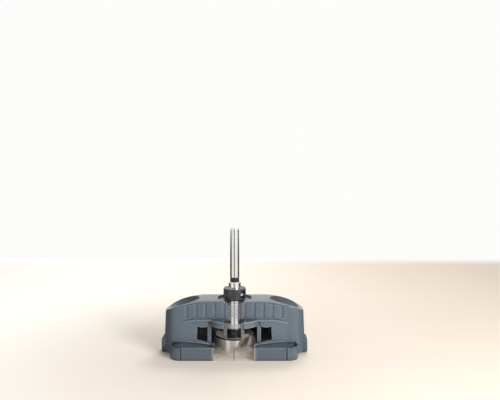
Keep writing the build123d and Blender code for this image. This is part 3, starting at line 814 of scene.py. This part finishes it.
class MakeStage(GuidePiece, bpy.types.Operator):
    """Makes the floor, the backdrop, the lamps, the world and the camera"""

    bl_idname = "drill_guide.stage"
    bl_label = "Stage"

    def build(self, scene):
        stage = scene.guide_stage
        self.backdrop(stage)
        for lamp in LAMPS:
            self.lamp(*lamp)
        self.world(scene, stage)
        self.camera(scene, stage)

    def backdrop(self, stage):
        """Floor that turns up into the wall along a quarter circle, swept across."""
        turn = np.linspace(0.0, math.pi / 2, COVE_POINTS)
        cove_y = stage.wall_back - COVE_RADIUS + COVE_RADIUS * np.sin(turn)
        cove_z = COVE_RADIUS - COVE_RADIUS * np.cos(turn)
        profile_y = np.concatenate(([-BACKDROP_FRONT], cove_y, [stage.wall_back]))
        profile_z = np.concatenate(([0.0], cove_z, [BACKDROP_HEIGHT]))
        rows = len(profile_y)
        points = np.zeros((rows, 2, 3))
        points[:, 0, 0], points[:, 1, 0] = -BACKDROP_HALF_WIDTH, BACKDROP_HALF_WIDTH
        points[..., 1], points[..., 2] = profile_y[:, None], profile_z[:, None]
        material = self.backdrop_material(stage)
        piece = mesh_from("floor", points.reshape(-1, 3), strip_faces(rows), material)

    def backdrop_material(self, stage):
        """Warm floor and pale wall. Rays that show them see the wall white, metal sees fields of
        painted light on the floor, and the camera sees a painted glow on the floor, fainter near
        the guide and paler on the left."""
        made = Material("backdrop")
        x, y, z = made.axes()
        paths = made.paths()
        wall = made.ramp(z, *WALL_RISE)
        floor = made.math("SUBTRACT", 1.0, wall)
        tone = made.mix(wall, stage.floor, stage.wall)
        grain = made.noise(1.0, MANY, made.scaled(FLOOR_GRAIN))
        grain = made.ramp(grain, *CLOUDS, 0.0, stage.grain_share)
        tone = made.mix(grain, tone, shaded(stage.floor, stage.grain_tone))
        diffuse = made.node("ShaderNodeBsdfDiffuse")
        made.put(diffuse.inputs["Color"], tone)
        lit_wall = made.product(made.shown_plain(paths), wall)
        plain = made.blend(lit_wall, diffuse.outputs[0], made.emission(stage.wall))
        in_metal = made.product(paths["Is Glossy Ray"], floor)
        plain = made.blend(in_metal, plain, made.emission(self.mirrored(made, stage)))
        # Painted glow for the camera, fainter near the guide and paler on the left
        away = made.distance(x, y)
        near = made.product(made.ramp(away, *NEAR_GLOW), made.ramp(x, *SIDE_GLOW))
        glow = made.largest(near, made.ramp(away, *FAR_GLOW))
        glow = made.product(paths["Is Camera Ray"], floor, glow)
        joined = made.node("ShaderNodeAddShader")
        made.put(joined.inputs[0], plain)
        made.put(joined.inputs[1], made.emission(stage.lift, glow))
        made.put(made.result, joined.outputs[0])
        return made.material

    def mirrored(self, made, stage):
        """Painted light on the floor that only metal shows: bright fields in front and behind, dark
        between and beside.
        """
        x, y, z = made.axes()
        angle = made.math("ARCTAN2", x, made.product(y, -1.0))
        behind = made.ramp(made.absolute(angle), *BACK_FIELD)
        bright = made.largest(
            made.band(angle, *LEFT_FIELD), made.band(angle, *RIGHT_FIELD), behind
        )
        tone = made.mix(made.band(angle, *GREY_FIELD), stage.dark_floor, stage.grey_floor)
        return made.mix(bright, tone, FIELD_COLOUR)

    def lamp(self, name, place, size, watts):
        """A square area lamp that looks at the middle of the guide."""
        lamp = bpy.data.lights.new(name, "AREA")
        lamp.size = size
        lamp.energy = watts
        holder = bpy.data.objects.new(name, lamp)
        holder.location = place
        aim = Vector(LAMP_AIM) - holder.location
        holder.rotation_euler = aim.to_track_quat("-Z", "Y").to_euler()
        bpy.context.scene.collection.objects.link(holder)

    def world(self, scene, stage):
        """An even pale sky, which the camera, metal and clear plastic show white."""
        scene.world = bpy.data.worlds.new("studio")
        made = Shader(scene.world, "ShaderNodeOutputWorld")
        skies = []
        for colour, strength in ((stage.sky, stage.sky_level), (WHITE, 1.0)):
            sky = made.node("ShaderNodeBackground")
            made.put(sky.inputs["Color"], colour)
            made.put(sky.inputs["Strength"], strength)
            skies.append(sky.outputs[0])
        made.put(made.result, made.blend(made.shown_plain(made.paths()), *skies))
        scene.view_settings.view_transform = "Standard"

    def camera(self, scene, stage):
        """A level camera in front, with the photographed framing."""
        lens = bpy.data.cameras.new("camera")
        lens.sensor_width = SENSOR_WIDTH
        lens.lens = FOCAL_LENGTH / FRAME_WIDTH * SENSOR_WIDTH
        lens.shift_y = FRAME_SHIFT / FRAME_WIDTH
        holder = bpy.data.objects.new("camera", lens)
        holder.location = (stage.camera_side, -stage.camera_back, stage.camera_height)
        holder.rotation_euler = (math.pi / 2, 0.0, 0.0)
        scene.collection.objects.link(holder)
        scene.camera = holder


class FinishHousing(GuidePiece, bpy.types.Operator):
    """Gives the moulded housing its grained plastic"""

    bl_idname = "drill_guide.housing"
    bl_label = "Housing"

    def build(self, scene):
        plastic = scene.guide_plastic
        finishes = (end_painted_shade, pocket_painted_shade, chamber_painted_shade)
        dress("housing", moulded("body plastic", plastic.body, plastic.body_gloss, *finishes))


class FinishBase(GuidePiece, bpy.types.Operator):
    """Gives the base frame and its sole pads their finish"""

    bl_idname = "drill_guide.base"
    bl_label = "Base frame"

    def build(self, scene):
        plastic, steel = scene.guide_plastic, scene.guide_steel
        finishes = (clear_blend, rim_shade, chamber_painted_shade)
        dress("base_frame", moulded("base plastic", plastic.base, plastic.base_gloss, *finishes))
        rubber = rubbery("sole rubber", steel.rubber, steel.rubber_rough)
        for node in SOLE_PADS:
            dress(node, rubber)


class FinishWindow(GuidePiece, bpy.types.Operator):
    """Gives the sight window its graded clear plastic"""

    bl_idname = "drill_guide.window"
    bl_label = "Sight window"

    def build(self, scene):
        dress("sight_window", clear_plastic("clear plastic"))
        NODES["sight_window"].visible_glossy = False


class FinishBumpers(GuidePiece, bpy.types.Operator):
    """Gives the end bumpers their darker rubber"""

    bl_idname = "drill_guide.bumpers"
    bl_label = "End bumpers"

    def build(self, scene):
        colour, roughness = scene.guide_plastic.bumper, scene.guide_steel.rubber_rough
        rubber = rubbery("bumper rubber", colour, roughness)
        for node in BUMPERS:
            dress(node, rubber)


class FinishSpindle(GuidePiece, bpy.types.Operator):
    """Gives the spindle and its neck ring their finish"""

    bl_idname = "drill_guide.spindle"
    bl_label = "Spindle"

    def build(self, scene):
        steel = scene.guide_steel
        dress("spindle", turned_steel("polished steel", steel.spindle, steel.spindle_rough))
        dress("neck_ring", rubbery("ring rubber", steel.rubber, steel.rubber_rough))


class FinishCollar(GuidePiece, bpy.types.Operator):
    """Gives the stop collar, its screw and the washer their finish"""

    bl_idname = "drill_guide.collar"
    bl_label = "Stop collar"

    def build(self, scene):
        steel = scene.guide_steel
        dress("depth_stop_collar", blackened("collar black", steel, screw_hole_painted_shade))
        dress("thrust_washer", blackened("washer black", steel))
        screw = turned_steel("screw steel", steel.bright, steel.clamp_rough, screw_rim_painted_shade)
        dress("collar_grub_screw", screw)


class FinishBit(GuidePiece, bpy.types.Operator):
    """Gives the boring bit and its screw their finish"""

    bl_idname = "drill_guide.bit"
    bl_label = "Boring bit"

    def build(self, scene):
        steel = scene.guide_steel
        dress("forstner_bit", tool_steel("tool steel", steel))
        dress("bit_grub_screw", turned_steel("bit screw steel", steel.bright, steel.clamp_rough))


class FinishFasteners(GuidePiece, bpy.types.Operator):
    """Gives the guide bush and the base screws their finish"""

    bl_idname = "drill_guide.fasteners"
    bl_label = "Bush and base screws"

    def build(self, scene):
        steel = scene.guide_steel
        dress("guide_bush", clear_sleeve("clear sleeve"))
        NODES["guide_bush"].visible_glossy = False
        dress("base_screws", turned_steel("plain steel", steel.bright, steel.base_rough))


class GuidePanel(bpy.types.Panel):
    """Lists the pieces and the settings of the drill guide"""

    bl_idname = "VIEW3D_PT_drill_guide"
    bl_label = "Drill guide"
    bl_space_type = "VIEW_3D"
    bl_region_type = "UI"
    bl_category = "Drill guide"

    def draw(self, context):
        for maker in MAKERS:
            self.layout.operator(maker.bl_idname)
        for name in SETTINGS:
            group = getattr(context.scene, name)
            box = self.layout.box()
            for key in group.__annotations__:
                box.prop(group, key)


SETTINGS = {
    "guide_plastic": PlasticSettings,
    "guide_window": WindowSettings,
    "guide_steel": SteelSettings,
    "guide_stage": StageSettings,
}
MAKERS = (
    MakeStage,
    FinishHousing,
    FinishBase,
    FinishWindow,
    FinishBumpers,
    FinishSpindle,
    FinishCollar,
    FinishBit,
    FinishFasteners,
)


def register():
    """Registers the settings, the operators and the panel."""
    for name, group in SETTINGS.items():
        bpy.utils.register_class(group)
        setattr(bpy.types.Scene, name, PointerProperty(type=group))
    for maker in (*MAKERS, GuidePanel):
        bpy.utils.register_class(maker)


def unregister():
    """Takes back what register has done."""
    for maker in reversed((*MAKERS, GuidePanel)):
        bpy.utils.unregister_class(maker)
    for name, group in SETTINGS.items():
        delattr(bpy.types.Scene, name)
        bpy.utils.unregister_class(group)


def main():
    """Registers the add-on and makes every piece."""
    register()
    for maker in MAKERS:
        section, name = maker.bl_idname.split(".")
        getattr(getattr(bpy.ops, section), name)()


if __name__ == "__main__":
    main()
